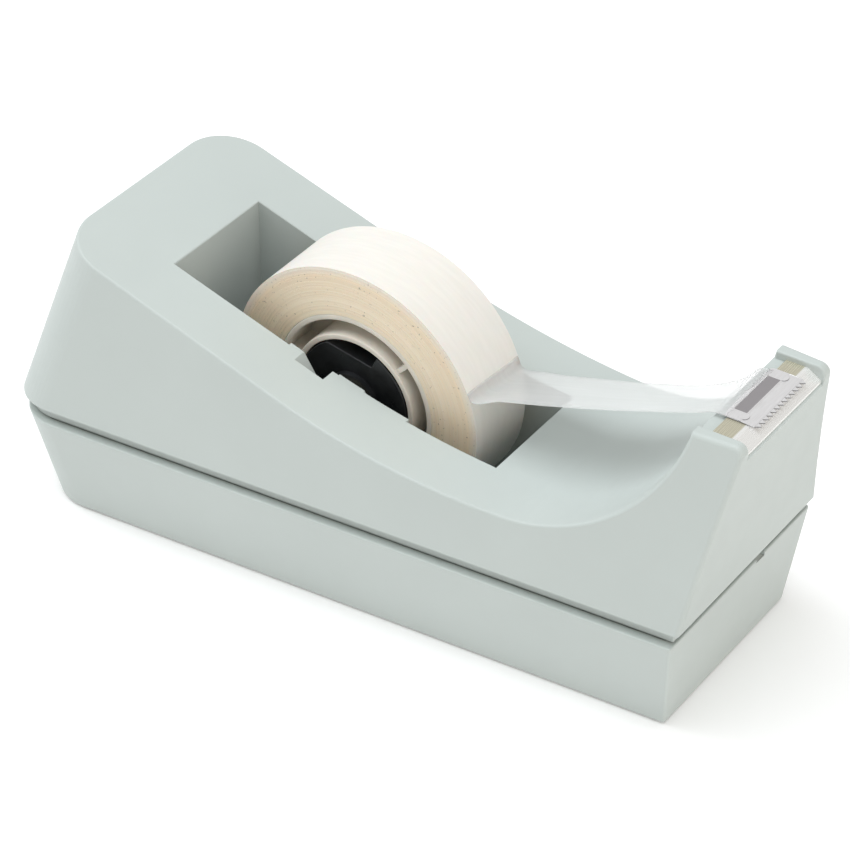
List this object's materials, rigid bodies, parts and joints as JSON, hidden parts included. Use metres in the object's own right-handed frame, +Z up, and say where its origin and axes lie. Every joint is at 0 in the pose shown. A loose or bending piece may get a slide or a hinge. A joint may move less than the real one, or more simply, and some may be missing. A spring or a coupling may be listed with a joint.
{
  "type": "desktop tape dispenser",
  "caption": "Weighted desktop tape dispenser with an open well, a lift-out hub carrying a roll of clear tape, and a serrated cutter on a raised nose.",
  "frame": {"origin": "centre of the footprint on the desk", "axes": "+X toward the cutter nose, +Y to the far long side, +Z up"},
  "size_m": [0.1632, 0.0746, 0.0668],
  "materials": {
    "shell": "fine satin, moulded",
    "ballast": "as cast",
    "pad": "foamed, matte",
    "screw": "zinc plated",
    "plated": "bright nickel plate",
    "blade": "rolled sheet",
    "axle": "drawn wire",
    "hub": "moulded, semi-gloss",
    "core": "moulded",
    "tape": "wound film",
    "film": "translucent film"
  },
  "bodies": {
    "body": {"upper_housing": "shell", "base_tray": "shell", "ballast_front": "ballast", "ballast_rear": "ballast", "non_slip_pad": "pad", "housing_screw_1": "screw", "housing_screw_2": "screw", "housing_screw_3": "screw", "housing_screw_4": "screw", "cutter_bracket": "plated", "cutter_blade": "blade", "blade_rivet_near": "plated", "blade_rivet_far": "plated", "tape_lead": "film"},
    "axle": {"hub_axle": "axle", "axle_retainer_near": "axle", "axle_retainer_far": "axle"},
    "spool": {"hub_half_near": "hub", "hub_half_far": "hub", "tape_core": "core", "tape_roll": "tape"}
  },
  "joints": [
    {"name": "axle_lift_out", "type": "slide", "parent": "body", "child": "axle", "axis": [-0.5299, 0, 0.848], "range_m": [0, 0.016]},
    {"name": "spool_spin", "type": "hinge", "parent": "axle", "child": "spool", "pos_m": [-0.0117, 0, 0.0368], "axis": [0, 1, 0], "continuous": true}
  ]
}
